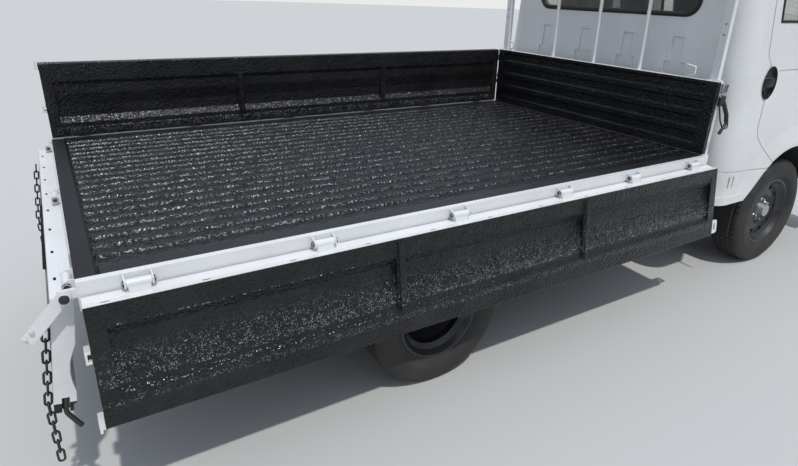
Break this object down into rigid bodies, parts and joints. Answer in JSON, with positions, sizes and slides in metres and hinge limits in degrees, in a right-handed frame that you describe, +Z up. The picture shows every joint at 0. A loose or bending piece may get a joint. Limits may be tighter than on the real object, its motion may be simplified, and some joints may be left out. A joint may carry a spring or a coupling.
{
  "type": "dropside light truck",
  "caption": "Single-cab dropside light truck with hinged side panels and tailgate round a ribbed load bed, opening doors, steered front wheels and twin rear wheels.",
  "frame": {"origin": "on the ground, below the middle of the truck's bounding box", "axes": "+X forward to the cab, +Y to the truck's left side, +Z up"},
  "size_m": [4.9218, 2.08, 1.968],
  "materials": {
    "white_paint": "gloss white enamel",
    "spray_lining": "sprayed black bed lining, pebbled",
    "chassis_black": "satin black chassis paint",
    "wheel_black": "satin black wheel paint",
    "tyre": "moulded tread rubber",
    "bare_steel": "machined steel",
    "cast_steel": "cast and forged, dirty",
    "black_steel": "blackened steel",
    "black_plastic": "grained moulding",
    "window_glass": "tinted safety glass",
    "lamp_lens": "clear lens",
    "red_lens": "red and amber lens",
    "seat_fabric": "woven seat cloth",
    "black_rubber": "moulded rubber"
  },
  "bodies": {
    "chassis": {"bed_floor": "spray_lining", "bed_bearers": "chassis_black", "headboard": "spray_lining", "guard_frame": "white_paint", "panel_straps": "black_rubber", "spare_tyre": "tyre", "spare_rim": "wheel_black", "chassis_frame": "chassis_black", "front_suspension": "chassis_black", "rear_axle": "cast_steel", "leaf_springs": "chassis_black", "engine_block": "cast_steel", "propshaft": "chassis_black", "fuel_tank": "chassis_black", "battery_box": "black_plastic", "exhaust": "bare_steel", "cab_shell": "white_paint", "windscreen": "window_glass", "rear_window": "window_glass", "cab_floor": "chassis_black", "seat_base": "black_plastic", "seat_cushions": "seat_fabric", "seat_backs": "seat_fabric", "dashboard": "black_plastic", "steering_wheel": "black_plastic", "bumper": "white_paint", "grille": "black_plastic", "headlamps": "lamp_lens", "tail_lamps": "red_lens", "mudflaps": "black_rubber", "front_mudflaps": "black_rubber", "panel_buffers": "black_rubber", "latch_lever": "white_paint", "bed_rails": "white_paint"},
    "side_panel_left": {"side_panel_left": "spray_lining"},
    "side_panel_right": {"side_panel_right": "spray_lining"},
    "tailgate": {"tailgate": "spray_lining", "tailgate_chains": "black_steel", "latch_rods": "black_steel"},
    "door_left": {"door_left": "white_paint", "door_glass_left": "window_glass", "mirror_left": "black_plastic"},
    "door_right": {"door_right": "white_paint", "door_glass_right": "window_glass", "mirror_right": "black_plastic"},
    "knuckle_left": {"knuckle_left": "cast_steel"},
    "knuckle_right": {"knuckle_right": "cast_steel"},
    "wheel_front_left": {"tyre_front_left": "tyre", "rim_front_left": "wheel_black", "hub_front_left": "bare_steel"},
    "wheel_front_right": {"tyre_front_right": "tyre", "rim_front_right": "wheel_black", "hub_front_right": "bare_steel"},
    "wheels_rear_left": {"tyres_rear_left": "tyre", "rims_rear_left": "wheel_black"},
    "wheels_rear_right": {"tyres_rear_right": "tyre", "rims_rear_right": "wheel_black"}
  },
  "joints": [
    {"name": "side_panel_left_hinge", "type": "hinge", "parent": "chassis", "child": "side_panel_left", "pos_m": [0, 0.862, 0.7605], "axis": [-1, 0, 0], "range_deg": [0, 172]},
    {"name": "side_panel_right_hinge", "type": "hinge", "parent": "chassis", "child": "side_panel_right", "pos_m": [0, -0.862, 0.7605], "axis": [-1, 0, 0], "range_deg": [0, 172]},
    {"name": "tailgate_hinge", "type": "hinge", "parent": "chassis", "child": "tailgate", "pos_m": [-2.339, 0, 0.7605], "axis": [0, 1, 0], "range_deg": [0, 172]},
    {"name": "door_left_hinge", "type": "hinge", "parent": "chassis", "child": "door_left", "pos_m": [1.916, 0.86, 0.76], "axis": [0, 0, -1], "range_deg": [0, 60]},
    {"name": "door_right_hinge", "type": "hinge", "parent": "chassis", "child": "door_right", "pos_m": [1.916, -0.86, 0.76], "axis": [0, 0, 1], "range_deg": [0, 60]},
    {"name": "steer_left", "type": "hinge", "parent": "chassis", "child": "knuckle_left", "pos_m": [1.317, 0.664, 0.205], "axis": [0, -0.1016, 0.9948], "range_deg": [-35, 35]},
    {"name": "steer_right", "type": "hinge", "parent": "chassis", "child": "knuckle_right", "pos_m": [1.317, -0.664, 0.205], "axis": [0, 0.1016, 0.9948], "range_deg": [-35, 35]},
    {"name": "spin_front_left", "type": "hinge", "parent": "knuckle_left", "child": "wheel_front_left", "pos_m": [1.317, 0.738, 0.327], "axis": [0, 1, 0], "continuous": true},
    {"name": "spin_front_right", "type": "hinge", "parent": "knuckle_right", "child": "wheel_front_right", "pos_m": [1.317, -0.738, 0.327], "axis": [0, 1, 0], "continuous": true},
    {"name": "spin_rear_left", "type": "hinge", "parent": "chassis", "child": "wheels_rear_left", "pos_m": [-1.113, 0.744, 0.298], "axis": [0, 1, 0], "continuous": true},
    {"name": "spin_rear_right", "type": "hinge", "parent": "chassis", "child": "wheels_rear_right", "pos_m": [-1.113, -0.744, 0.298], "axis": [0, 1, 0], "continuous": true}
  ],
  "couplings": [
    {"joint": "steer_right", "follows": "steer_left", "ratio": 1}
  ]
}
